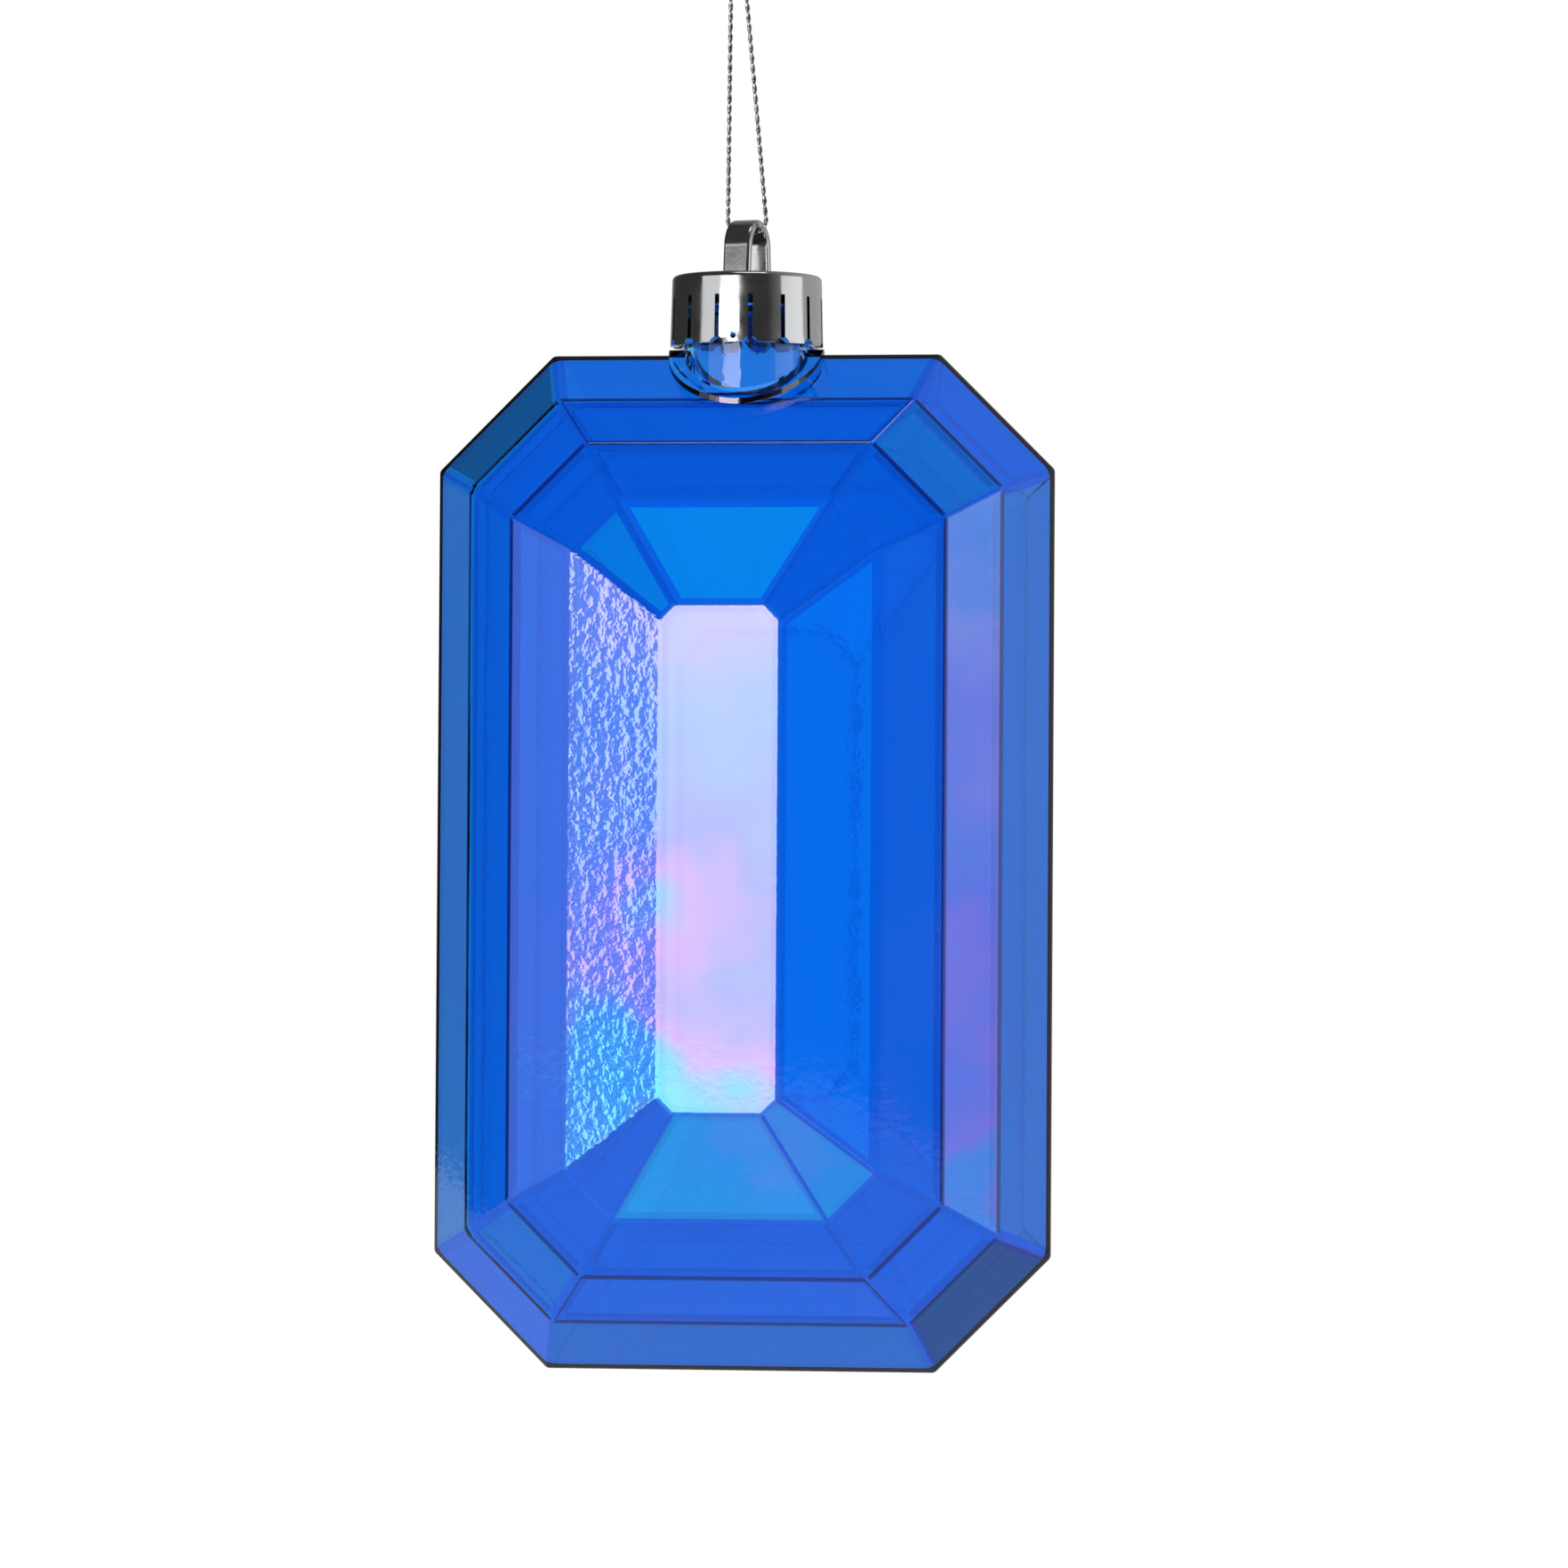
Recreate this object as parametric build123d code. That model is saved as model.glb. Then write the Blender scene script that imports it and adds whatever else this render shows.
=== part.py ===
"""Hanging ornament in millimetres: a hollow step-cut gem of two moulded halves, a snap cap with 14 tabs and a
moulded loop, and a metallic thread that is passed through the loop and knotted above it.

The origin is the middle of the thread's run in the cap's loop, which is the axis that the ornament swings about.
+Z is up, -Y is the front, and the gem's seam lies in the XZ plane.
"""

import os
from math import cos, hypot, pi, radians, sin, sqrt

from build123d import *

os.makedirs("parts", exist_ok=True)

# Thread and loop
thread_dia = 0.8
thread_clearance = 0.3
strand_side = 1.0
thread_height = 57.5
knot_shift = -2.7
strand_apart = 0.04
knot_dia = 2.9
knot_height = 3.4
knot_round = 0.55
tail_length = 9.0
tail_angle = 13.0

loop_band = 4.8
loop_wall = 1.5
loop_half_span = 4.6
loop_spread = 0.4
loop_height = 9.4
loop_round = 0.55

# Cap
cap_turned = -15.0
cap_flare = 0.3
cap_wall = 1.1
cap_plate = 1.2
cap_height = 11.7
cap_edge = 0.8
tab_count = 14
slot_width = 0.8
slot_height = 7.9
mouth_radius = 1.3
mouth_height = 0.9
nib_height = 3.4
nib_lift = 0.8
gate_radius = 0.5
gate_lift = 1.0

# Neck
neck_radius = 10.4
neck_wall = 1.5
neck_bead = 0.5
bead_height = 2.0
neck_clearance = 0.06
bead_clearance = 0.3
skirt_clearance = 0.35
pad_radius = 12.9
pad_height = 0.9
cap_above_pad = 0.4

# Gem, as half sizes about the middle of the seam
gem_half_width = 51.4
gem_half_height = 83.9
gem_corner = 19.1
girdle_land = 0.5
shell_wall = 1.5
tongue_inset = 1.1
tongue_height = 1.0
tongue_clearance = 0.05

# Each step: how far it is inside the girdle at the sides and at the ends, its corner and its depth
front_steps = [(7.3, 8.2, 14.6, 12.1), (15.6, 15.8, 12.2, 20.1), (25.7, 25.2, 8.0, 24.7)]
back_steps = [(5.8, 7.1, 15.6, 12.1), (13.4, 14.4, 13.0, 20.1), (21.0, 20.4, 9.5, 24.7)]

# Each table: half width, half height, corner and depth
front_table = (9.8, 41.3, 2.6, 28.3)
back_table = (15.0, 39.4, 5.0, 28.3)

# Sizes and heights that follow from those above
thread_radius = thread_dia / 2
strand_gap = thread_dia + strand_apart
strand_offset = loop_band / 2 + strand_side
strand_bend = loop_round + thread_clearance + thread_radius
loop_top = thread_radius + thread_clearance + loop_wall
cap_top = loop_top - loop_height
cap_bottom = cap_top - cap_height
gem_top = cap_bottom - cap_above_pad - pad_height
gem_centre = gem_top - gem_half_height
neck_top = cap_top - cap_plate - bead_clearance
nib_top = cap_bottom + nib_lift + nib_height
bead_bottom = nib_top + bead_clearance
cap_top_radius = neck_radius + neck_bead + skirt_clearance + cap_wall
cap_bottom_radius = cap_top_radius + cap_flare


def octagon(half_width, half_height, corner, y):
    """The eight corners of one step in the plane at y."""
    w, h = half_width, half_height
    outline = [(w - corner, h), (w, h - corner), (w, corner - h), (w - corner, -h)]
    outline += [(-x, z) for x, z in reversed(outline)]
    return [Vector(x, y, gem_centre + z) for x, z in outline]


def through(rings):
    """The closed solid whose flat facets join each octagon to the next."""
    faces = [Face(Wire.make_polygon(ring, close=True)) for ring in (rings[0], rings[-1])]
    for low, high in zip(rings, rings[1:]):
        for i in range(8):
            j = (i + 1) % 8
            faces.append(Face(Wire.make_polygon([low[i], low[j], high[j], high[i]], close=True)))
    return Solid(Shell(faces))


def outer_steps(steps, table):
    """Half width, half height, corner and depth of every octagon from the seam to the table."""
    girdle = [(gem_half_width, gem_half_height, gem_corner, depth) for depth in (0.0, girdle_land)]
    return girdle + [(gem_half_width - a, gem_half_height - b, c, d) for a, b, c, d in steps] + [table]


def inner_steps(outer, wall):
    """The octagons a wall's thickness inside the outer ones, the first of them in the seam's plane."""
    shape = outer[1:]
    normals = []
    for (r0, _, _, d0), (r1, _, _, d1) in zip(shape, shape[1:]):
        long = hypot(r1 - r0, d1 - d0)
        normals.append(((d1 - d0) / long, (r0 - r1) / long))
    normals.append((0.0, 1.0))
    inner = []
    for i, (w, h, corner, depth) in enumerate(shape):
        if i == 0:
            across, along = normals[0]
            inset, lower = (wall - along * depth) / across, depth
        else:
            (a0, b0), (a1, b1) = normals[i - 1], normals[i]
            share = a0 * b1 - a1 * b0
            inset, lower = wall * (b1 - b0) / share, wall * (a0 - a1) / share
        inner.append((w - inset, h - inset, corner - inset * (2 - sqrt(2)), depth - lower))
    return inner


def gem_half(side, steps, table):
    """One moulded half, with its half of the neck: side is -1 for the front and 1 for the back."""
    outer = outer_steps(steps, table)
    inner = inner_steps(outer, shell_wall)
    start = (*inner[0][:3], -girdle_land)
    body = through([octagon(w, h, c, side * d) for w, h, c, d in outer])
    hollow = through([octagon(w, h, c, side * d) for w, h, c, d in [start] + inner])
    neck_base = gem_top - 2 * pad_radius
    raised = Pos(0, 0, pad_height) * body
    pad = raised & upright(pad_radius, neck_base, gem_top + pad_height)
    neck = upright(neck_radius, neck_base, neck_top)
    bead = upright(neck_radius + neck_bead, bead_bottom, bead_bottom + bead_height)
    bead = chamfer(bead.edges().filter_by(GeomType.CIRCLE), 0.9 * neck_bead)
    near = Pos(0, side * 50, gem_centre) * Box(300, 100, 400)
    bore = upright(neck_radius - neck_wall, neck_base, neck_top + 1)
    return (body + pad + ((neck + bead) & near)) - hollow - bore


def upright(radius, bottom, top):
    """A solid cylinder about the neck's axis."""
    return Pos(0, 0, (bottom + top) / 2) * Cylinder(radius, top - bottom)


def seam_ring(inset, inside, height, back):
    """A low octagonal ring about the seam, from one inset to another, open at the neck."""
    rings = []
    for far in (inset, inside):
        size = (gem_half_width - far, gem_half_height - far, gem_corner - far * (2 - sqrt(2)))
        rings.append(through([octagon(*size, -back), octagon(*size, height)]))
    return rings[0] - rings[1] - upright(pad_radius + 1.0, gem_top - 20, gem_top + 20)


# The gem: the front's tongue stands in a rebate in the back's wall
front_wall = inner_steps(outer_steps(front_steps, front_table), shell_wall)[0]
tongue_inside = gem_half_width - front_wall[0]
tongue = seam_ring(tongue_inset, tongue_inside, tongue_height, 0.4)
rebate = seam_ring(
    tongue_inset - tongue_clearance, tongue_inside + 3, tongue_height + tongue_clearance, 0.4
)
front_shell = gem_half(-1, front_steps, front_table) + tongue
back_shell = gem_half(1, back_steps, back_table) - rebate

# The cap, built with its loop's hole along X and then turned about the neck
nib_radius = neck_radius + neck_clearance
with BuildPart() as cap:
    with BuildSketch(Plane.XZ) as section:
        with BuildLine():
            inner_top = cap_top_radius - cap_wall
            inner_bottom = cap_bottom_radius - cap_wall
            Polyline(
                (0, cap_top),
                (cap_top_radius, cap_top),
                (cap_bottom_radius, cap_bottom),
                (inner_bottom - 0.2, cap_bottom),
                (nib_radius, cap_bottom + nib_lift),
                (nib_radius, nib_top),
                (inner_bottom - 0.1, nib_top),
                (inner_top, cap_top - cap_plate),
                (0, cap_top - cap_plate),
                close=True,
            )
        make_face()
    revolve(axis=Axis.Z)
    fillet(cap.edges().filter_by(GeomType.CIRCLE).sort_by(Axis.Z)[-1], cap_edge)
slot_top = cap_bottom + slot_height
slot = Pos(0, -cap_bottom_radius, 0) * (
    Pos(0, 0, (slot_top + cap_bottom - 1) / 2) * Box(slot_width, 6, slot_top - cap_bottom + 1)
    + Pos(0, 0, cap_bottom + mouth_height - mouth_radius) * Rot(90, 0, 0) * Cylinder(mouth_radius, 6)
)
slots = [Rot(0, 0, 360 * k / tab_count) * slot for k in range(tab_count)]
gate_turn = 180 / tab_count
gate = Rot(0, 0, gate_turn) * Pos(0, -cap_bottom_radius, cap_bottom + gate_lift)
gate = gate * Rot(90, 0, 0) * Cylinder(gate_radius, 6)
skirt = cap.part - slots - gate

arch_centre = loop_top - loop_half_span
sunk = cap_top - cap_plate / 2


def arch(radius, base):
    """The loop's outline in the YZ plane, filled, from its spread base to its round top."""
    foot = radius + loop_spread
    sides = Polyline((radius, arch_centre), (foot, base), (-foot, base), (-radius, arch_centre))
    top = ThreePointArc((-radius, arch_centre), (0, arch_centre + radius), (radius, arch_centre))
    return Plane.YZ * make_face(sides + top)


band = extrude(arch(loop_half_span, sunk), loop_band / 2, both=True)
eye = extrude(arch(loop_half_span - loop_wall, cap_top), loop_band, both=True)
loop = band - eye
rims = loop.faces().filter_by(Axis.X).edges().filter_by(lambda e: e.center().Z > cap_top + 0.01)
loop = fillet(rims, loop_round)
hanger_cap = Rot(0, 0, cap_turned) * (skirt + loop)


def along(u, z):
    """A point in the upright plane that holds the loop's hole axis."""
    return Vector(u * cos(radians(cap_turned)), u * sin(radians(cap_turned)), z)


# The thread: down one strand, through the loop and up the other, cut off level under the knot
route = [(knot_shift - strand_gap / 2, thread_height), (-strand_offset, 0.0), (strand_offset, 0.0),
         (knot_shift + strand_gap / 2, thread_height)]
ends = [(a[0] + (a[0] - b[0]) / thread_height, a[1] + 1.0) for a, b in (route[:2], route[:1:-1])]
points = [along(*p) for p in [ends[0], *route[1:3], ends[1]]]
path = FilletPolyline(points, radius=[strand_bend, strand_bend])
tube = sweep((path ^ 0) * Circle(thread_radius), path=path)
cut = Pos(0, 0, thread_height + 5) * Box(60, 60, 10)
thread = tube - cut

# The knot sits on the two strands, and its two tails spread a little
knot_at = along(knot_shift, thread_height)
knot = Pos(knot_at.X, knot_at.Y, thread_height + knot_height / 2) * Cylinder(knot_dia / 2, knot_height)
knot = fillet(knot.edges().filter_by(GeomType.CIRCLE), knot_round)
for turn in (-tail_angle, tail_angle):
    lean = Pos(knot_at.X, knot_at.Y, thread_height + knot_height / 2) * Rot(0, 0, cap_turned) * Rot(0, turn, 0)
    knot += lean * Pos(0, 0, (tail_length + knot_height / 2) / 2) * Cylinder(
        thread_radius, tail_length + knot_height / 2
    )
thread_knot = knot

nodes = {
    "front_shell": front_shell,
    "back_shell": back_shell,
    "hanger_cap": hanger_cap,
    "thread": thread,
    "thread_knot": thread_knot,
}
for name, shape in nodes.items():
    export_step(shape, f"parts/{name}.step")

turn = points[1].sub(points[0]).get_angle(points[2].sub(points[1]))
print("cord radii:", [round(strand_bend, 3)] * 2, "turn", round(turn, 1), "degrees")
print("cord length:", round(path.length, 2), "mm, volume:", round(tube.volume, 3))
print("section times length:", round(pi * thread_radius**2 * path.length, 3))
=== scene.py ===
import math

import bmesh
import bpy
from mathutils import Matrix, Vector


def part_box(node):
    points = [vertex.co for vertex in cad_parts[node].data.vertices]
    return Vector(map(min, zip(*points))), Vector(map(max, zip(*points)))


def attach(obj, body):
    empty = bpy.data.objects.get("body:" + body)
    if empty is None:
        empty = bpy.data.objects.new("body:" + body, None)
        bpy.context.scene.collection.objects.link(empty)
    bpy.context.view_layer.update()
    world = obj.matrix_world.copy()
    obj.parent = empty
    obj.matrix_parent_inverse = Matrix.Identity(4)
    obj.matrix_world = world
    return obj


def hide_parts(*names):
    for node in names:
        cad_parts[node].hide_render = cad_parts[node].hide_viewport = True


# A hanging gem ornament: a hollow step-cut gem of two clear blue shells, a plated snap cap with a moulded loop,
# and a twisted metallic thread knotted above it. Metres; the origin is the thread's run in the loop.
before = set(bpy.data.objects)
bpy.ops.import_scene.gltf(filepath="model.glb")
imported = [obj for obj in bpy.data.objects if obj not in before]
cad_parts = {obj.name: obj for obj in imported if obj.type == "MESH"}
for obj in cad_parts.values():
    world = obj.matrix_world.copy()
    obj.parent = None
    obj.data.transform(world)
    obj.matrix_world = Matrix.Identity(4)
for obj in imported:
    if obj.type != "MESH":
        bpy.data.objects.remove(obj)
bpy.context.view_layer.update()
mm = 0.001

frontLow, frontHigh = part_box("front_shell")
gemHalfWidth = frontHigh.x
neckTop = frontHigh.z
gemBottom = frontLow.z

gem = {
    "halfHeight": 83.9 * mm,
    "corner": 19.1 * mm,
    "land": 0.5 * mm,
    "wall": 1.5 * mm,
    "seamGap": 0.03 * mm,
    "pastSeam": 0.5 * mm,
    "outerRound": 0.42 * mm,
    "innerRound": 1.1 * mm,
    "roundSteps": 3,
    "sharpAngle": math.radians(30),
    # inside the girdle at the sides, at the ends, the corner and the depth of each step
    "front": [(7.3, 8.2, 14.6, 12.1), (15.6, 15.8, 12.2, 20.1), (25.7, 25.2, 8.0, 24.7)],
    "back": [(5.8, 7.1, 15.6, 12.1), (13.4, 14.4, 13.0, 20.1), (21.0, 20.4, 9.5, 24.7)],
    # half width, half height, corner and depth
    "frontTable": (9.8, 41.3, 2.6, 28.3),
    "backTable": (15.0, 39.4, 5.0, 28.3),
}
gemCentre = Vector((0, 0, gemBottom + gem["halfHeight"]))


def addObject(name, mesh):
    piece = bpy.data.objects.new(name, mesh)
    bpy.context.scene.collection.objects.link(piece)
    return piece


def meshObject(name, vertices, faces):
    mesh = bpy.data.meshes.new(name)
    mesh.from_pydata([tuple(v) for v in vertices], [], faces)
    mesh.validate()
    fixed = bmesh.new()
    fixed.from_mesh(mesh)
    bmesh.ops.recalc_face_normals(fixed, faces=fixed.faces)
    fixed.to_mesh(mesh)
    fixed.free()
    return addObject(name, mesh)


def boolean(piece, tool, operation):
    change = piece.modifiers.new("join", "BOOLEAN")
    change.object = tool
    change.operation = operation
    change.solver = "EXACT"
    applyModifiers(piece)
    bpy.data.objects.remove(tool)


def applyModifiers(piece):
    graph = bpy.context.evaluated_depsgraph_get()
    baked = bpy.data.meshes.new_from_object(piece.evaluated_get(graph))
    piece.modifiers.clear()
    piece.data = baked


camera = {
    "azimuth": 8.0,
    "elevation": -1.5,
    "roll": 0.36,
    "distance": 1.323,
    "right": 6.7 * mm,
    "up": 12.9 * mm,
    "lens": 183.8,
    "sensor": 36.0,
}


def placeCamera():
    a, e = math.radians(camera["azimuth"]), math.radians(camera["elevation"])
    back = Vector((math.sin(a) * math.cos(e), -math.cos(a) * math.cos(e), math.sin(e)))
    right = Vector((math.cos(a), math.sin(a), 0))
    up = back.cross(right)
    turn = Matrix.Rotation(math.radians(camera["roll"]), 3, back)
    right, up = turn @ right, turn @ up
    seen = bpy.data.cameras.new("camera")
    seen.lens = camera["lens"]
    seen.sensor_width = camera["sensor"]
    holder = bpy.data.objects.new("camera", seen)
    bpy.context.scene.collection.objects.link(holder)
    place = gemCentre + back * camera["distance"] + right * camera["right"] + up * camera["up"]
    axes = Matrix((right, up, back)).transposed().to_4x4()
    holder.matrix_world = Matrix.Translation(place) @ axes
    bpy.context.scene.camera = holder


placeCamera()
print("camera placed")


yarn = {
    "diameter": 0.8 * mm,
    "plyRadius": 0.215 * mm,
    "plyOffset": 0.185 * mm,
    "pitch": 3.4 * mm,
    "turned": -15.0,
    "sides": 8,
    "step": 0.17 * mm,
}

loopAxis = Vector((math.cos(math.radians(yarn["turned"])), math.sin(math.radians(yarn["turned"])), 0))

# along the loop's axis and up, in millimetres: from the eye up one strand, through the knot and down the other
threadRoute = [
    (0.0, 0.0),
    (-3.5, -0.1),
    (-3.5, 4.8),
    (-3.12, 57.5),
    (-2.7, 60.0),
    (-2.28, 57.5),
    (3.1, 4.8),
    (3.5, -0.1),
    (0.0, 0.0),
]


def threadLine():
    curve = bpy.data.curves.new("threadLine", "CURVE")
    curve.dimensions = "3D"
    curve.resolution_u = 48
    spline = curve.splines.new("NURBS")
    spline.points.add(len(threadRoute) - 1)
    for point, (u, z) in zip(spline.points, threadRoute):
        point.co = (*(loopAxis * u * mm + Vector((0, 0, z * mm))), 1)
    spline.order_u = 3
    spline.use_endpoint_u = True
    holder = addObject("threadLine", curve)
    graph = bpy.context.evaluated_depsgraph_get()
    mesh = bpy.data.meshes.new_from_object(holder.evaluated_get(graph))
    line = [v.co.copy() for v in mesh.vertices]
    bpy.data.objects.remove(holder)
    bpy.data.meshes.remove(mesh)
    return line


def evenly(line, step):
    lengths = [0.0]
    for start, end in zip(line, line[1:]):
        lengths.append(lengths[-1] + (end - start).length)
    count = max(2, round(lengths[-1] / step))
    made, i = [], 0
    for k in range(count + 1):
        at = lengths[-1] * k / count
        while i < len(line) - 2 and lengths[i + 1] < at:
            i += 1
        share = (at - lengths[i]) / max(lengths[i + 1] - lengths[i], 1e-12)
        made.append(line[i].lerp(line[i + 1], min(share, 1.0)))
    return made, lengths[-1]


def frames(line):
    # a tangent and a steady pair of cross axes at every point
    made, side = [], None
    for i, point in enumerate(line):
        along = (line[min(i + 1, len(line) - 1)] - line[max(i - 1, 0)]).normalized()
        side = Vector((0.3, 1, 0.2)) if side is None else side
        side = (side - along * side.dot(along)).normalized()
        made.append((point, side, along.cross(side)))
    return made


def twisted(name, line, plies, radius, offset, pitch, step, sides, taper=0.0):
    points, length = evenly(line, step)
    vertices, faces = [], []
    for ply in range(plies):
        start = len(vertices)
        rows = frames(points)
        for i, (centre, side, other) in enumerate(rows):
            angle = 2 * math.pi * (i * length / (len(rows) - 1) / pitch + ply / plies)
            out = side * math.cos(angle) + other * math.sin(angle)
            along = side.cross(other)
            lean = 2 * math.pi * offset / pitch
            forward = (along + (along.cross(out)) * lean).normalized()
            across = forward.cross(out)
            slim = 1 - taper * max(0.0, i / (len(rows) - 1) - 0.7) / 0.3
            for k in range(sides):
                turn = 2 * math.pi * k / sides
                edge = out * math.cos(turn) + across * math.sin(turn)
                vertices.append(centre + out * offset + edge * radius * slim)
        for i in range(len(rows) - 1):
            for k in range(sides):
                a = start + i * sides + k
                b = start + i * sides + (k + 1) % sides
                faces.append((a, b, b + sides, a + sides))
        last = start + (len(rows) - 1) * sides
        faces.append(tuple(start + k for k in reversed(range(sides))))
        faces.append(tuple(last + k for k in range(sides)))
    piece = meshObject(name, vertices, faces)
    for face in piece.data.polygons:
        face.use_smooth = len(face.vertices) == 4
    return piece, points, length


threadPath = threadLine()
thread, threadPoints, threadLength = twisted(
    "hangingThread", threadPath, 2, yarn["plyRadius"], yarn["plyOffset"], yarn["pitch"], yarn["step"],
    yarn["sides"],
)
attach(thread, "hanging_thread")
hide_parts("thread")
print("thread twisted, metres:", round(threadLength, 4))

# the knot: an overhand knot of the doubled thread, and its two tails

# where the knot lies and its sizes, in millimetres, and the tails' lean in degrees
knotPlace = {
    "u": -2.7,
    "z": 59.2,
    "wide": 0.95,
    "tall": 1.35,
    "deep": 0.5,
    "plyRadius": 0.36,
    "plyOffset": 0.3,
    "pitch": 3.6,
    "step": 0.2,
    "points": 96,
    "tail": 8.5,
    "tailAngle": 13.0,
    "tailTaper": 0.3,
    "tailPoints": 24,
}


def knotLine():
    line = []
    for i in range(knotPlace["points"] + 1):
        t = 2 * math.pi * i / knotPlace["points"]
        across = (math.sin(t) + 2 * math.sin(2 * t)) / 3 * knotPlace["wide"] * 1.1
        tall = (math.cos(t) - 2 * math.cos(2 * t)) / 3 * knotPlace["tall"]
        deep = -math.sin(3 * t) * knotPlace["deep"]
        line.append(knotPoint(across, deep, tall))
    return line


def knotPoint(across, deep, tall):
    sideways = Vector((-loopAxis.y, loopAxis.x, 0))
    flat = loopAxis * (knotPlace["u"] + across) + sideways * deep
    return (flat + Vector((0, 0, knotPlace["z"] + tall))) * mm


def tailLine(way):
    angle = math.radians(knotPlace["tailAngle"])
    line = []
    for i in range(knotPlace["tailPoints"] + 1):
        share = i / knotPlace["tailPoints"]
        reach = knotPlace["tail"] * share
        across = way * (0.3 + reach * math.sin(angle) + 0.5 * share * share)
        line.append(knotPoint(across, 0.25 * math.sin(3 * share) * way, 0.6 + reach * math.cos(angle)))
    return line


def makeKnot():
    step = knotPlace["step"] * mm
    sides = yarn["sides"]
    body, _, _ = twisted(
        "threadKnot", knotLine(), 2, knotPlace["plyRadius"] * mm, knotPlace["plyOffset"] * mm,
        knotPlace["pitch"] * mm, step, sides,
    )
    tails = []
    for way in (-1, 1):
        tail, _, _ = twisted(
            "tail", tailLine(way), 2, yarn["plyRadius"], yarn["plyOffset"], yarn["pitch"], step, sides,
            knotPlace["tailTaper"],
        )
        tails.append(tail)
    joined = bmesh.new()
    for part in (body, *tails):
        joined.from_mesh(part.data)
    joined.to_mesh(body.data)
    joined.free()
    for part in tails:
        bpy.data.objects.remove(part)
    return body


knot = makeKnot()
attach(knot, "hanging_thread")
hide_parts("thread_knot")
print("knot tied")


neck = {
    "radius": 10.4 * mm,
    "wall": 1.5 * mm,
    "bead": 0.5 * mm,
    "beadBottom": -14.4 * mm,
    "beadHeight": 2.0 * mm,
    "padRadius": 12.9 * mm,
    "padHeight": 0.9 * mm,
    "segments": 72,
    "rootDepth": 24 * mm,
}

sideNames = ["right", "topRight", "top", "topLeft", "left", "bottomLeft", "bottom", "bottomRight"]


def octagon(w, h, corner, y):
    outline = [(w - corner, h), (w, h - corner), (w, corner - h), (w - corner, -h)]
    outline += [(-x, z) for x, z in reversed(outline)]
    return [Vector((x, y, gemCentre.z + z)) for x, z in outline]


def outerSteps(steps, table):
    w, h, c = gemHalfWidth, gem["halfHeight"], gem["corner"]
    girdle = [(w, h, c, gem["seamGap"]), (w, h, c, gem["land"])]
    middle = [(w - a * mm, h - b * mm, k * mm, d * mm) for a, b, k, d in steps]
    return girdle + middle + [tuple(v * mm for v in table)]


def innerSteps(outer):
    shape = outer[1:]
    wall = gem["wall"]
    normals = []
    for (r0, _, _, d0), (r1, _, _, d1) in zip(shape, shape[1:]):
        long = math.hypot(r1 - r0, d1 - d0)
        normals.append(((d1 - d0) / long, (r0 - r1) / long))
    normals.append((0.0, 1.0))
    inner = []
    for i, (w, h, corner, depth) in enumerate(shape):
        if i == 0:
            across, along = normals[0]
            inset, lower = (wall - along * depth) / across, depth
        else:
            (a0, b0), (a1, b1) = normals[i - 1], normals[i]
            share = a0 * b1 - a1 * b0
            inset, lower = wall * (b1 - b0) / share, wall * (a0 - a1) / share
        inner.append((w - inset, h - inset, corner - inset * (2 - math.sqrt(2)), depth - lower))
    return inner


def stepSolid(name, side, steps, rounding, raised=0.0):
    # a closed solid of flat facets whose ridges are rounded; ridge faces get the second material
    vertices, faces = [], []
    for w, h, c, d in steps:
        vertices += [p + Vector((0, 0, raised)) for p in octagon(w, h, c, side * d)]
    faces.append(tuple(range(8)))
    faces.append(tuple(len(vertices) - 8 + i for i in range(8)))
    for ring in range(len(steps) - 1):
        for i in range(8):
            a, b = ring * 8 + i, ring * 8 + (i + 1) % 8
            faces.append((a, b, b + 8, a + 8))
    piece = meshObject(name, vertices, faces)
    if rounding:
        work = bmesh.new()
        work.from_mesh(piece.data)
        seam = abs(steps[0][3]) + 1e-6
        ridges = [
            e for e in work.edges
            if min(abs(v.co.y) for v in e.verts) > seam and e.calc_face_angle(0) > math.radians(4)
            or (abs(e.verts[0].co.y) <= seam) != (abs(e.verts[1].co.y) <= seam)
        ]
        bmesh.ops.bevel(
            work, geom=ridges, offset=rounding, offset_type="OFFSET", segments=gem["roundSteps"], profile=0.5,
            affect="EDGES", clamp_overlap=True, material=1,
        )
        work.to_mesh(piece.data)
        work.free()
    return piece


def lathe(name, profile, segments):
    # profile: radius and height pairs, closed about the axis at both ends
    vertices, faces = [], []
    for k in range(segments):
        angle = 2 * math.pi * k / segments
        vertices += [Vector((r * math.cos(angle), r * math.sin(angle), z)) for r, z in profile]
    rows = len(profile)
    for k in range(segments):
        a, b = k * rows, (k + 1) % segments * rows
        faces += [(a + i, a + i + 1, b + i + 1, b + i) for i in range(rows - 1)]
    faces.append(tuple(k * rows for k in reversed(range(segments))))
    faces.append(tuple(k * rows + rows - 1 for k in range(segments)))
    return meshObject(name, vertices, faces)


def slab(name, side):
    # the half space on one side of the seam
    reach = 2 * gemHalfWidth
    low = Vector((-reach, side * gem["seamGap"], gemBottom - reach))
    high = Vector((reach, side * reach, neckTop + reach))
    corners = [(x, y, z) for x in (low.x, high.x) for y in (low.y, high.y) for z in (low.z, high.z)]
    faces = [(0, 1, 3, 2), (4, 6, 7, 5), (0, 4, 5, 1), (2, 3, 7, 6), (0, 2, 6, 4), (1, 5, 7, 3)]
    return meshObject(name, corners, faces)


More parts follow.
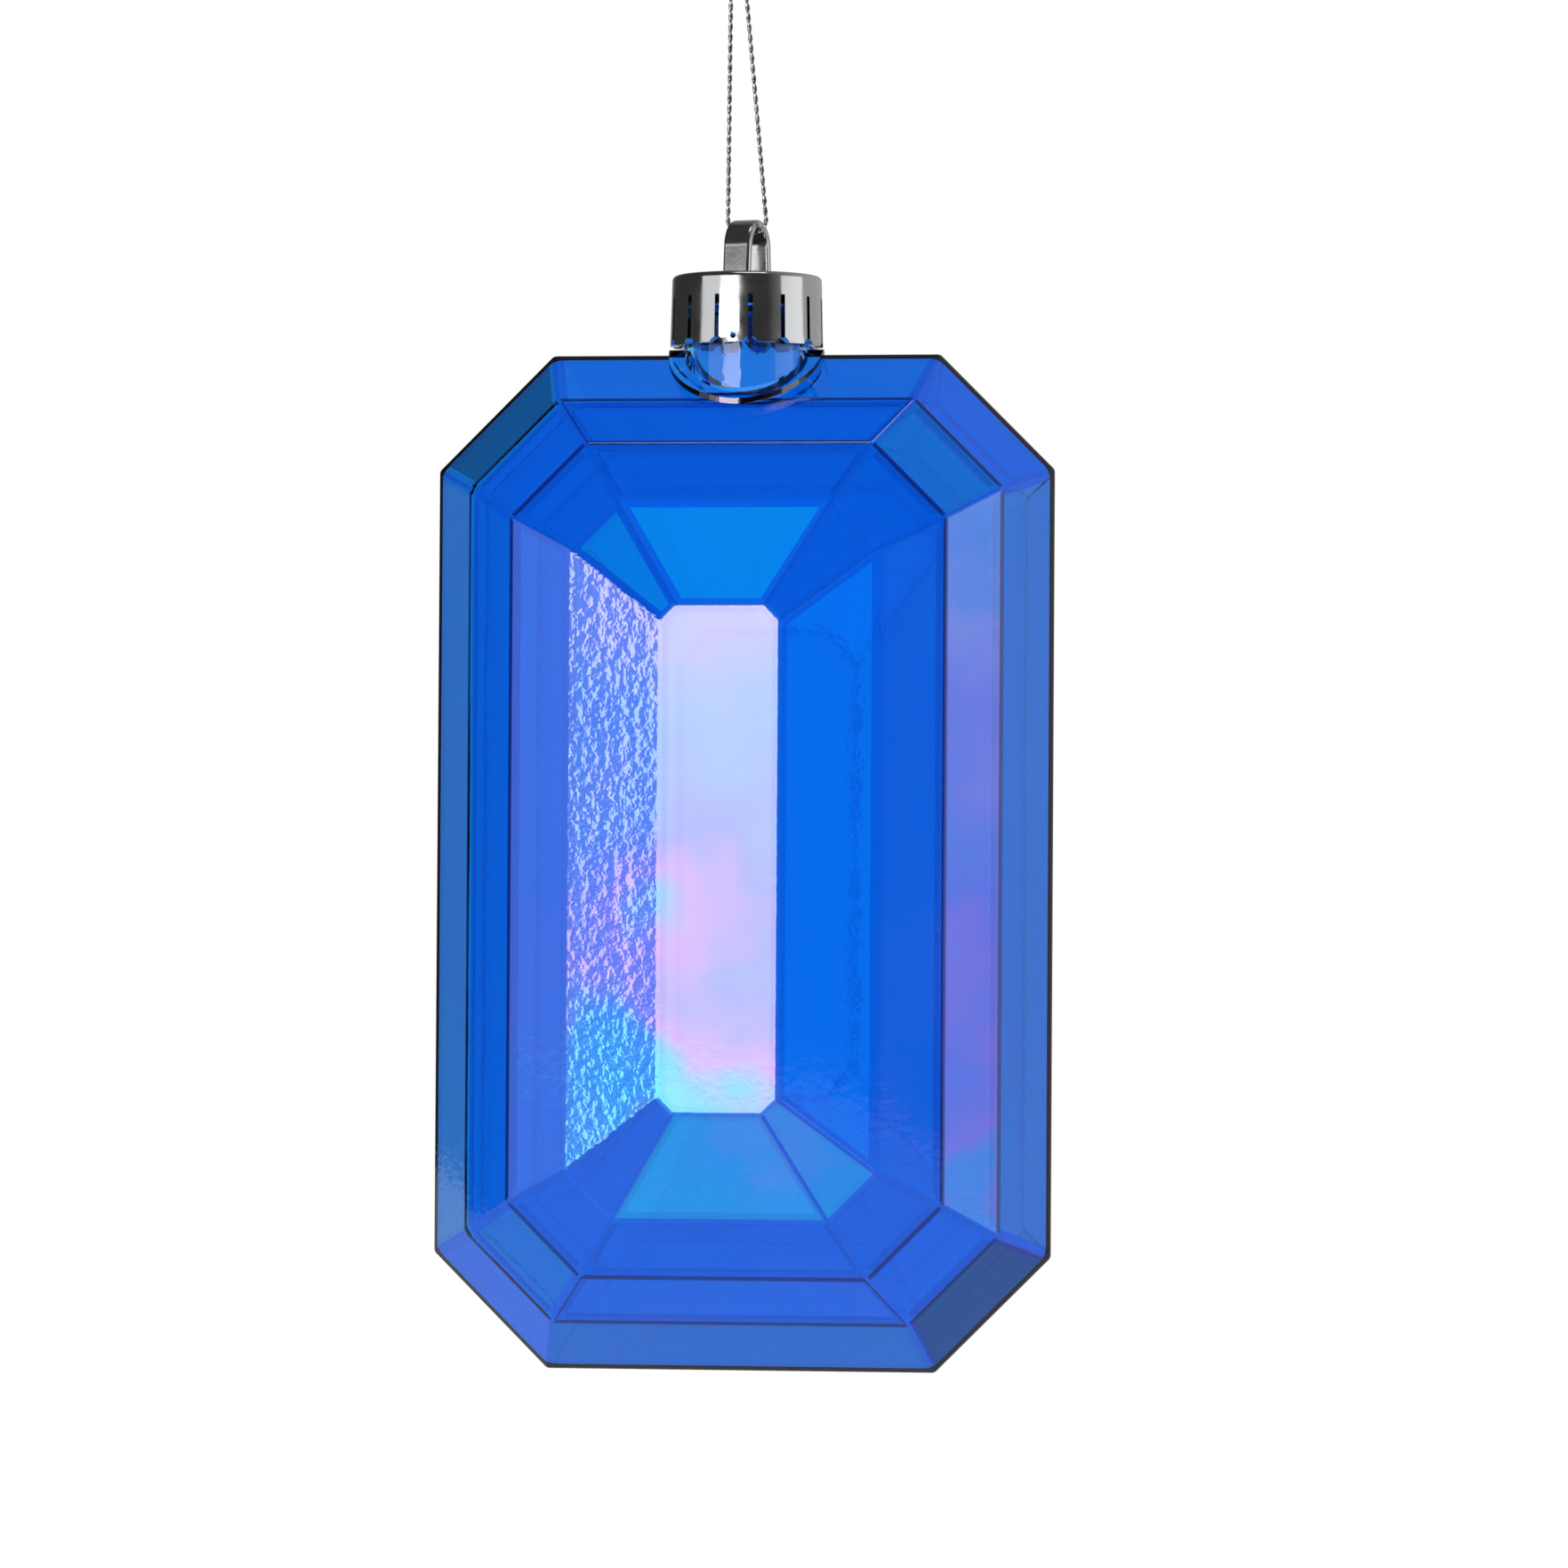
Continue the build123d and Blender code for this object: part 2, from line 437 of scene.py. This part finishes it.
def neckSolid():
    r, bead, low = neck["radius"], neck["bead"], neck["beadBottom"]
    high = low + neck["beadHeight"]
    base = gemCentre.z + gem["halfHeight"] - neck["rootDepth"]
    profile = [(r, base), (r, low - bead * 0.2), (r + bead * 0.6, low + bead * 0.35), (r + bead, low + bead),
               (r + bead, high - bead), (r + bead * 0.6, high - bead * 0.35), (r, high), (r, neckTop)]
    return lathe("neckSolid", profile, neck["segments"])


def makeShell(name, side, steps, table):
    outer = outerSteps(steps, table)
    inner = innerSteps(outer)
    inner = [(*inner[0][:3], -gem["pastSeam"])] + inner
    shell = stepSolid(name, side, outer, gem["outerRound"])
    hollow = stepSolid("hollow", side, inner, gem["innerRound"])
    pad = stepSolid("pad", side, outer, gem["outerRound"], neck["padHeight"])
    base = gemCentre.z + gem["halfHeight"] - neck["rootDepth"]
    disc = lathe("disc", [(neck["padRadius"], base), (neck["padRadius"], neckTop)], neck["segments"])
    boolean(pad, disc, "INTERSECT")
    tube = neckSolid()
    boolean(tube, slab("slab", side), "INTERSECT")
    boolean(shell, pad, "UNION")
    boolean(shell, tube, "UNION")
    boolean(shell, hollow, "DIFFERENCE")
    bore = neck["radius"] - neck["wall"]
    boolean(shell, lathe("bore", [(bore, base), (bore, neckTop + 1 * mm)], neck["segments"]), "DIFFERENCE")
    return shell


shells = {
    "front_shell": makeShell("gemFront", -1, gem["front"], gem["frontTable"]),
    "back_shell": makeShell("gemBack", 1, gem["back"], gem["backTable"]),
}
for solid, shell in shells.items():
    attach(shell, "gem")
    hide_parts(solid)
    print(solid, "faces", len(shell.data.polygons))


# what light keeps in each colour when it crosses one wall
tints = {
    "plain": (0.0, 0.17, 0.75),
    "back": (0.30, 0.62, 0.96),
    "seam": (0.10, 0.10, 0.22),
    "neck": (0.10, 0.42, 0.86),
}

# painted reflection and painted shade on the front's facets: each listed facet's colour stands in for the glare,
# coating sheen and shade it shows from this view; keyed by ring from the girdle, then side
frontFacetPaintedLight = {
    (1, "left"): (0.07, 0.37, 0.62),
    (1, "topLeft"): (0.01, 0.32, 0.52),
    (1, "right"): (0.07, 0.18, 0.70),
    (1, "bottom"): (0.03, 0.21, 0.52),
    (1, "bottomRight"): (0.0, 0.03, 0.16),
    (2, "topRight"): (0.03, 0.30, 0.60),
    (2, "right"): (0.30, 0.20, 0.72),
    (3, "right"): (0.04, 0.22, 0.85),
    (4, "top"): (0.0, 0.26, 0.98),
    (4, "right"): (0.0, 0.21, 0.88),
    (4, "left"): (0.05, 0.35, 0.95),
    (4, "bottom"): (0.05, 0.60, 0.80),
    (4, "bottomRight"): (0.0, 0.65, 0.90),
    (5, "table"): (0.25, 0.36, 1.0),
}

# how much of the coating's mirror each facet shows
filmShares = {
    "plain": 0.012,
    "ridge": 0.02,
    "tableRidge": 0.10,
    "inner": 0.0,
    (1, "left"): 0.05,
    (2, "right"): 0.09,
    (3, "right"): 0.05,
    (4, "left"): 0.09,
    (4, "bottom"): 0.12,
    (4, "bottomRight"): 0.10,
    (5, "table"): 0.085,
}

# how rough the moulded surface is
hammered = {"plain": 0.10, (4, "left"): 1.0, (5, "table"): 0.35, (4, "bottom"): 0.15}

# painted shade and painted highlight along each ridge, outside and inside: factors on the plain tint by step,
# with 0 where two sides meet and 5 at the seam; below 1 paints the dark line refraction draws at a ridge, above
# 1 paints a light line
frontRidgeShadeAndHighlight = {
    0: ((0.6, 0.80, 0.88), (0.7, 0.9, 0.95)),
    1: ((0.3, 0.05, 0.10), (0.6, 0.55, 0.70)),
    2: ((0.3, 0.08, 0.15), (0.6, 0.60, 0.75)),
    3: ((1.0, 1.25, 1.1), (0.8, 0.85, 0.95)),
    4: ((1.0, 1.6, 1.2), (1.0, 1.1, 1.0)),
    5: ((0.3, 0.10, 0.15), (0.6, 0.7, 0.8)),
}
backRidgePaintedShade = {
    0: ((0.9, 0.93, 0.96), (0.95, 0.96, 0.98)),
    1: ((0.8, 0.60, 0.70), (0.9, 0.88, 0.94)),
    2: ((0.8, 0.80, 0.88), (0.9, 0.92, 0.96)),
    3: ((0.9, 0.85, 0.92), (0.9, 0.93, 0.97)),
    4: ((0.8, 0.62, 0.78), (0.9, 0.90, 0.96)),
    5: ((0.3, 0.20, 0.25), (0.6, 0.7, 0.8)),
}


def facetOf(normal, slopes):
    # which ring and side a facet is, from the way it faces
    flat = math.hypot(normal.x, normal.z)
    tilt = math.degrees(math.atan2(flat, abs(normal.y)))
    if tilt > 85:
        return 0, "girdle"
    if tilt < 5:
        return 5, "table"
    ring = min(range(1, 5), key=lambda k: abs(slopes[k - 1] - tilt))
    turn = round(math.degrees(math.atan2(normal.z, normal.x)) / 45) % 8
    return ring, sideNames[turn]


def slopesOf(steps, table):
    rings = [(0.0, 0.5)] + [(a, d) for a, _, _, d in steps]
    rings.append((gemHalfWidth / mm - table[0], table[3]))
    return [math.degrees(math.atan2(d1 - d0, a1 - a0)) for (a0, d0), (a1, d1) in zip(rings, rings[1:])]


def ridgeOf(centre, normal, steps, table):
    # the step whose edge this ridge is, or 0 where two neighbouring sides meet
    turn = math.degrees(math.atan2(normal.z, normal.x)) / 45
    if abs(turn - round(turn)) > 0.2:
        return 0
    depths = [gem["land"] / mm] + [step[3] for step in steps] + [table[3]]
    return min(range(5), key=lambda k: abs(depths[k] - abs(centre.y) / mm)) or 5


def paintFacets(shell, steps, table, paintedFacetLight, plain, ridges):
    mesh = shell.data
    for name, kind, domain in (("tint", "FLOAT_COLOR", "CORNER"), ("film", "FLOAT", "FACE"),
                               ("hammer", "FLOAT", "FACE")):
        mesh.attributes.new(name, kind, domain)
    tint, film, hammer = (mesh.attributes[name] for name in ("tint", "film", "hammer"))
    slopes = slopesOf(steps, table)
    padTop = gemCentre.z + gem["halfHeight"] + neck["padHeight"] - 0.2 * mm
    for face in mesh.polygons:
        centre, normal = face.center, face.normal
        outside = normal.dot(centre - gemCentre) > 0
        out = math.hypot(centre.x, centre.y)
        facet = facetOf(normal, slopes)
        # listed facets take painted reflection and painted shade in place of the plain tint
        colour = paintedFacetLight.get(facet, plain)
        shine = filmShares.get(facet, filmShares["plain"])
        if face.material_index == 1:
            # ridge faces take the plain tint scaled by their step's factors: painted shade where below 1,
            # painted highlight where above 1
            which = ridgeOf(centre, normal, steps, table)
            shade = ridges[which][0 if outside else 1]
            colour = tuple(c * k for c, k in zip(plain, shade))
            shine = filmShares["tableRidge"] if which == 4 else filmShares["ridge"]
        if facet[0] == 0 or abs(centre.y) < 0.7 * mm and out > neck["padRadius"]:
            colour = tints["seam"]
        if centre.z > padTop or out < neck["radius"] + 0.2 * mm and centre.z > padTop - 10 * mm:
            colour, shine = tints["neck"], filmShares["plain"]
        for corner in face.loop_indices:
            tint.data[corner].color = (*colour, 1)
        film.data[face.index].value = shine if outside else filmShares["inner"]
        hammer.data[face.index].value = hammered.get(facet, hammered["plain"])


def shadeSoft(shell):
    # flat facets stay flat and ridges turn smoothly
    mesh = shell.data
    for face in mesh.polygons:
        face.use_smooth = True
    mesh.set_sharp_from_angle(angle=gem["sharpAngle"])
    weighted = shell.modifiers.new("weighted", "WEIGHTED_NORMAL")
    weighted.keep_sharp = True
    weighted.weight = 90


def node(tree, kind, **values):
    made = tree.nodes.new(kind)
    for key, value in values.items():
        setattr(made, key, value)
    return made


def feed(tree, source, target):
    tree.links.new(source, target)


def newMaterial(name):
    material = bpy.data.materials.new(name)
    material.use_nodes = True
    tree = material.node_tree
    shader = tree.nodes["Principled BSDF"]
    return material, tree, shader


def surfaceGroup():
    # uneven moulded surface: slow waves, upright streaks and a fine hammered grain, summed as a height in metres
    group = bpy.data.node_groups.new("mouldedSurface", "ShaderNodeTree")
    face = group.interface
    for name in ("Wave Scale", "Wave Depth", "Streak Scale", "Streak Depth", "Grain Scale", "Grain Depth"):
        face.new_socket(name, in_out="INPUT", socket_type="NodeSocketFloat")
    face.new_socket("Height", in_out="OUTPUT", socket_type="NodeSocketFloat")
    start, end = node(group, "NodeGroupInput"), node(group, "NodeGroupOutput")
    place = node(group, "ShaderNodeTexCoord")
    upright = node(group, "ShaderNodeVectorMath", operation="MULTIPLY")
    upright.inputs[1].default_value = (1, 1, 0.12)
    feed(group, place.outputs["Object"], upright.inputs[0])
    total = None
    for name, source, detail in (("Wave", place.outputs["Object"], 1), ("Streak", upright.outputs[0], 2),
                                 ("Grain", place.outputs["Object"], 2)):
        noise = node(group, "ShaderNodeTexNoise")
        noise.inputs["Detail"].default_value = detail
        add = node(group, "ShaderNodeMath", operation="MULTIPLY_ADD")
        feed(group, source, noise.inputs["Vector"])
        feed(group, start.outputs[name + " Scale"], noise.inputs["Scale"])
        feed(group, noise.outputs["Fac"], add.inputs[0])
        feed(group, start.outputs[name + " Depth"], add.inputs[1])
        add.inputs[2].default_value = 0
        if total:
            feed(group, total, add.inputs[2])
        total = add.outputs[0]
    feed(group, total, end.inputs["Height"])
    return group


def surfaceHeight(tree, look):
    made = node(tree, "ShaderNodeGroup", node_tree=surfaces)
    for name, value in look.items():
        made.inputs[name].default_value = value
    return made


surfaces = surfaceGroup()

gemLook = {
    "roughness": 0.04,
    "ior": 1.46,
    "filmRoughness": 0.10,
    "filmEdge": 0.35,
    "filmBlend": 0.25,
    "filmSpan": 0.95,
}

# how the coating's colour moves across the gem
coatingDrift = {"Across": 2.2, "Noise Scale": 34.0, "Noise Share": 0.9}

gemSurface = {
    "Wave Scale": 16.0,
    "Wave Depth": 1.1 * mm,
    "Streak Scale": 160.0,
    "Streak Depth": 0.05 * mm,
    "Grain Scale": 620.0,
    "Grain Depth": 0.10 * mm,
}
platingSurface = {
    "Wave Scale": 120.0,
    "Wave Depth": 0.05 * mm,
    "Streak Scale": 500.0,
    "Streak Depth": 0.004 * mm,
    "Grain Scale": 1500.0,
    "Grain Depth": 0.003 * mm,
}

# the coating's colours from the gem's foot to its top
rainbow = [
    (0.00, (0.60, 0.55, 0.62)),
    (0.10, (0.05, 0.95, 0.85)),
    (0.24, (0.15, 0.75, 1.00)),
    (0.34, (0.95, 0.35, 0.85)),
    (0.46, (0.50, 0.35, 1.00)),
    (0.60, (0.45, 0.55, 1.00)),
    (0.74, (0.80, 0.55, 1.00)),
    (0.86, (1.00, 0.92, 1.00)),
    (1.00, (0.30, 0.85, 1.00)),
]


def rainbowGroup():
    # the coating: a colour that drifts with height, width and a slow noise
    group = bpy.data.node_groups.new("rainbowCoating", "ShaderNodeTree")
    face = group.interface
    for name in ("Middle", "Up", "Across", "Noise Scale", "Noise Share"):
        face.new_socket(name, in_out="INPUT", socket_type="NodeSocketFloat")
    face.new_socket("Color", in_out="OUTPUT", socket_type="NodeSocketColor")
    start, end = node(group, "NodeGroupInput"), node(group, "NodeGroupOutput")
    place = node(group, "ShaderNodeTexCoord")
    split = node(group, "ShaderNodeSeparateXYZ")
    drift = node(group, "ShaderNodeTexNoise")
    drift.inputs["Detail"].default_value = 3
    feed(group, place.outputs["Object"], split.inputs[0])
    feed(group, place.outputs["Object"], drift.inputs["Vector"])
    feed(group, start.outputs["Noise Scale"], drift.inputs["Scale"])
    centred = node(group, "ShaderNodeMath", operation="SUBTRACT")
    feed(group, drift.outputs["Fac"], centred.inputs[0])
    centred.inputs[1].default_value = 0.5
    total = start.outputs["Middle"]
    for value, share in ((split.outputs["Z"], "Up"), (split.outputs["X"], "Across"),
                         (centred.outputs[0], "Noise Share")):
        add = node(group, "ShaderNodeMath", operation="MULTIPLY_ADD")
        feed(group, value, add.inputs[0])
        feed(group, start.outputs[share], add.inputs[1])
        feed(group, total, add.inputs[2])
        total = add.outputs[0]
    ramp = node(group, "ShaderNodeValToRGB")
    stops = ramp.color_ramp.elements
    while len(stops) < len(rainbow):
        stops.new(0.5)
    for stop, (at, colour) in zip(stops, rainbow):
        stop.position = at
        stop.color = (*colour, 1)
    feed(group, total, ramp.inputs["Fac"])
    feed(group, ramp.outputs["Color"], end.inputs["Color"])
    return group


def gemMaterial():
    material, tree, shader = newMaterial("gemPlastic")
    tint = node(tree, "ShaderNodeAttribute", attribute_name="tint")
    film = node(tree, "ShaderNodeAttribute", attribute_name="film")
    coating = node(tree, "ShaderNodeGroup", node_tree=rainbowGroup())
    up = gemLook["filmSpan"] / (2 * gem["halfHeight"])
    coating.inputs["Middle"].default_value = 0.5 - up * gemCentre.z
    coating.inputs["Up"].default_value = up
    for name, value in coatingDrift.items():
        coating.inputs[name].default_value = value
    uneven = surfaceHeight(tree, gemSurface)
    hammer = node(tree, "ShaderNodeAttribute", attribute_name="hammer")
    grain = node(tree, "ShaderNodeMath", operation="MULTIPLY")
    grain.inputs[1].default_value = gemSurface["Grain Depth"]
    feed(tree, hammer.outputs["Fac"], grain.inputs[0])
    feed(tree, grain.outputs[0], uneven.inputs["Grain Depth"])
    bump = node(tree, "ShaderNodeBump")
    bump.inputs["Distance"].default_value = 1.0
    bump.inputs["Strength"].default_value = 1.0
    feed(tree, uneven.outputs["Height"], bump.inputs["Height"])
    feed(tree, bump.outputs["Normal"], shader.inputs["Normal"])
    feed(tree, tint.outputs["Color"], shader.inputs["Base Color"])
    shader.inputs["Roughness"].default_value = gemLook["roughness"]
    shader.inputs["IOR"].default_value = gemLook["ior"]
    shader.inputs["Transmission Weight"].default_value = 1.0
    gloss = node(tree, "ShaderNodeBsdfPrincipled")
    gloss.inputs["Metallic"].default_value = 1.0
    gloss.inputs["Roughness"].default_value = gemLook["filmRoughness"]
    feed(tree, coating.outputs["Color"], gloss.inputs["Base Color"])
    feed(tree, bump.outputs["Normal"], gloss.inputs["Normal"])
    weight = node(tree, "ShaderNodeLayerWeight")
    weight.inputs["Blend"].default_value = gemLook["filmBlend"]
    edge = node(tree, "ShaderNodeMath", operation="MULTIPLY_ADD")
    edge.inputs[1].default_value = gemLook["filmEdge"]
    edge.inputs[2].default_value = 1.0
    share = node(tree, "ShaderNodeMath", operation="MULTIPLY")
    feed(tree, weight.outputs["Facing"], edge.inputs[0])
    feed(tree, edge.outputs[0], share.inputs[0])
    feed(tree, film.outputs["Fac"], share.inputs[1])
    mix = node(tree, "ShaderNodeMixShader")
    feed(tree, share.outputs[0], mix.inputs["Fac"])
    feed(tree, shader.outputs[0], mix.inputs[1])
    feed(tree, gloss.outputs[0], mix.inputs[2])
    feed(tree, mix.outputs[0], tree.nodes["Material Output"].inputs["Surface"])
    return material


gemPlastic = gemMaterial()
paintFacets(shells["front_shell"], gem["front"], gem["frontTable"], frontFacetPaintedLight, tints["plain"], frontRidgeShadeAndHighlight)
paintFacets(shells["back_shell"], gem["back"], gem["backTable"], {}, tints["back"], backRidgePaintedShade)
for shell in shells.values():
    shell.data.materials.clear()
    shell.data.materials.append(gemPlastic)
    for face in shell.data.polygons:
        face.material_index = 0
    shadeSoft(shell)

platingLook = {"colour": (0.50, 0.505, 0.51), "roughness": 0.12, "cloudScale": 160, "cloudDetail": 5}


def platingMaterial():
    material, tree, shader = newMaterial("capPlating")
    place = node(tree, "ShaderNodeTexCoord")
    clouds = node(tree, "ShaderNodeTexNoise")
    clouds.inputs["Scale"].default_value = platingLook["cloudScale"]
    clouds.inputs["Detail"].default_value = platingLook["cloudDetail"]
    shades = node(tree, "ShaderNodeMapRange")
    shades.inputs["From Min"].default_value = 0.35
    shades.inputs["From Max"].default_value = 0.7
    shades.inputs["To Min"].default_value = platingLook["roughness"] * 0.7
    shades.inputs["To Max"].default_value = platingLook["roughness"] * 1.6
    uneven = surfaceHeight(tree, platingSurface)
    bump = node(tree, "ShaderNodeBump")
    bump.inputs["Distance"].default_value = 1.0
    feed(tree, place.outputs["Object"], clouds.inputs["Vector"])
    feed(tree, clouds.outputs["Fac"], shades.inputs["Value"])
    feed(tree, shades.outputs["Result"], shader.inputs["Roughness"])
    feed(tree, uneven.outputs["Height"], bump.inputs["Height"])
    feed(tree, bump.outputs["Normal"], shader.inputs["Normal"])
    shader.inputs["Base Color"].default_value = (*platingLook["colour"], 1)
    shader.inputs["Metallic"].default_value = 1.0
    return material


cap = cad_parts["hanger_cap"]
cap.data.materials.clear()
cap.data.materials.append(platingMaterial())

yarnLook = {
    "colour": (0.72, 0.72, 0.74),
    "dark": (0.20, 0.20, 0.21),
    "roughness": 0.22,
    "fleckScale": 2600,
    "fleckDepth": 0.03 * mm,
}


def yarnMaterial():
    material, tree, shader = newMaterial("metallicYarn")
    place = node(tree, "ShaderNodeTexCoord")
    flecks = node(tree, "ShaderNodeTexNoise")
    flecks.inputs["Scale"].default_value = yarnLook["fleckScale"]
    flecks.inputs["Detail"].default_value = 2
    shades = node(tree, "ShaderNodeValToRGB")
    shades.color_ramp.elements[0].position = 0.38
    shades.color_ramp.elements[0].color = (*yarnLook["dark"], 1)
    shades.color_ramp.elements[1].position = 0.58
    shades.color_ramp.elements[1].color = (*yarnLook["colour"], 1)
    bump = node(tree, "ShaderNodeBump")
    bump.inputs["Distance"].default_value = yarnLook["fleckDepth"]
    feed(tree, place.outputs["Object"], flecks.inputs["Vector"])
    feed(tree, flecks.outputs["Fac"], shades.inputs["Fac"])
    feed(tree, shades.outputs["Color"], shader.inputs["Base Color"])
    feed(tree, flecks.outputs["Fac"], bump.inputs["Height"])
    feed(tree, bump.outputs["Normal"], shader.inputs["Normal"])
    shader.inputs["Metallic"].default_value = 1.0
    shader.inputs["Roughness"].default_value = yarnLook["roughness"]
    return material


metallicYarn = yarnMaterial()
for piece in (thread, knot):
    piece.data.materials.clear()
    piece.data.materials.append(metallicYarn)
print("materials made")


studio = {
    "floorZ": -0.30,
    "floorSize": 6.0,
    "floorGlow": 0.55,
    "dark": 0.05,
    "light": 0.55,
    "lightWay": (0.75, 0.66, 0.0),
    "worldFill": 0.55,
}

# direction from the gem (degrees), distance, width, height, and how bright the panel looks
panels = {
    "frontLeft": (-18, 1, 1.6, 0.84, 0.55, 6.0),
    "leftGlow": (-48, 2, 1.6, 0.95, 0.8, 1.1),
    "rightSide": (82, 4, 1.5, 1.1, 0.9, 0.9),
    "overhead": (20, 74, 1.5, 0.8, 0.5, 2.0),
}


def makeFloor():
    size = studio["floorSize"]
    z = studio["floorZ"]
    corners = [(-size, -size, z), (size, -size, z), (size, size, z), (-size, size, z)]
    floor = meshObject("floor", corners, [(0, 1, 2, 3)])
    material, tree, shader = newMaterial("floorWhite")
    shader.inputs["Base Color"].default_value = (0.9, 0.9, 0.9, 1)
    shader.inputs["Roughness"].default_value = 1.0
    shader.inputs["Specular IOR Level"].default_value = 0.0
    path = node(tree, "ShaderNodeLightPath")
    seen = node(tree, "ShaderNodeMath", operation="MAXIMUM")
    glow = node(tree, "ShaderNodeMath", operation="MULTIPLY")
    glow.inputs[1].default_value = studio["floorGlow"]
    shader.inputs["Emission Color"].default_value = (1, 1, 1, 1)
    feed(tree, path.outputs["Is Camera Ray"], seen.inputs[0])
    feed(tree, path.outputs["Is Transmission Ray"], seen.inputs[1])
    feed(tree, seen.outputs[0], glow.inputs[0])
    feed(tree, glow.outputs[0], shader.inputs["Emission Strength"])
    floor.data.materials.append(material)


def makeWorld():
    world = bpy.data.worlds.new("studio")
    bpy.context.scene.world = world
    world.use_nodes = True
    tree = world.node_tree
    background = tree.nodes["Background"]
    path = node(tree, "ShaderNodeLightPath")
    place = node(tree, "ShaderNodeTexCoord")
    facing = node(tree, "ShaderNodeVectorMath", operation="DOT_PRODUCT")
    facing.inputs[1].default_value = studio["lightWay"]
    away = node(tree, "ShaderNodeMapRange")
    away.inputs["From Min"].default_value = 0.0
    away.inputs["From Max"].default_value = 0.9
    away.inputs["To Min"].default_value = studio["dark"]
    away.inputs["To Max"].default_value = studio["light"]
    seen = node(tree, "ShaderNodeMath", operation="MAXIMUM")
    fill = node(tree, "ShaderNodeMix", data_type="FLOAT")
    white = node(tree, "ShaderNodeMix", data_type="FLOAT")
    fill.inputs[2].default_value = studio["worldFill"]
    white.inputs[3].default_value = 1.0
    feed(tree, place.outputs["Generated"], facing.inputs[0])
    feed(tree, facing.outputs["Value"], away.inputs["Value"])
    feed(tree, path.outputs["Is Glossy Ray"], fill.inputs[0])
    feed(tree, away.outputs["Result"], fill.inputs[3])
    feed(tree, path.outputs["Is Camera Ray"], seen.inputs[0])
    feed(tree, path.outputs["Is Transmission Ray"], seen.inputs[1])
    feed(tree, seen.outputs[0], white.inputs[0])
    feed(tree, fill.outputs[0], white.inputs[2])
    feed(tree, white.outputs[0], background.inputs["Strength"])
    background.inputs["Color"].default_value = (1, 1, 1, 1)


def makePanels():
    for name, (azimuth, elevation, distance, width, height, bright) in panels.items():
        a, e = math.radians(azimuth), math.radians(elevation)
        way = Vector((math.sin(a) * math.cos(e), -math.cos(a) * math.cos(e), math.sin(e)))
        lamp = bpy.data.lights.new(name, "AREA")
        lamp.shape = "RECTANGLE"
        lamp.size, lamp.size_y = width, height
        lamp.energy = bright * math.pi * width * height
        holder = bpy.data.objects.new(name, lamp)
        holder.location = gemCentre + way * distance
        holder.rotation_euler = way.to_track_quat("Z", "Y").to_euler()
        holder.visible_camera = False
        holder.visible_transmission = False
        bpy.context.scene.collection.objects.link(holder)


makeFloor()
makeWorld()
makePanels()
bpy.context.scene.view_settings.view_transform = "Standard"
print("studio lit")
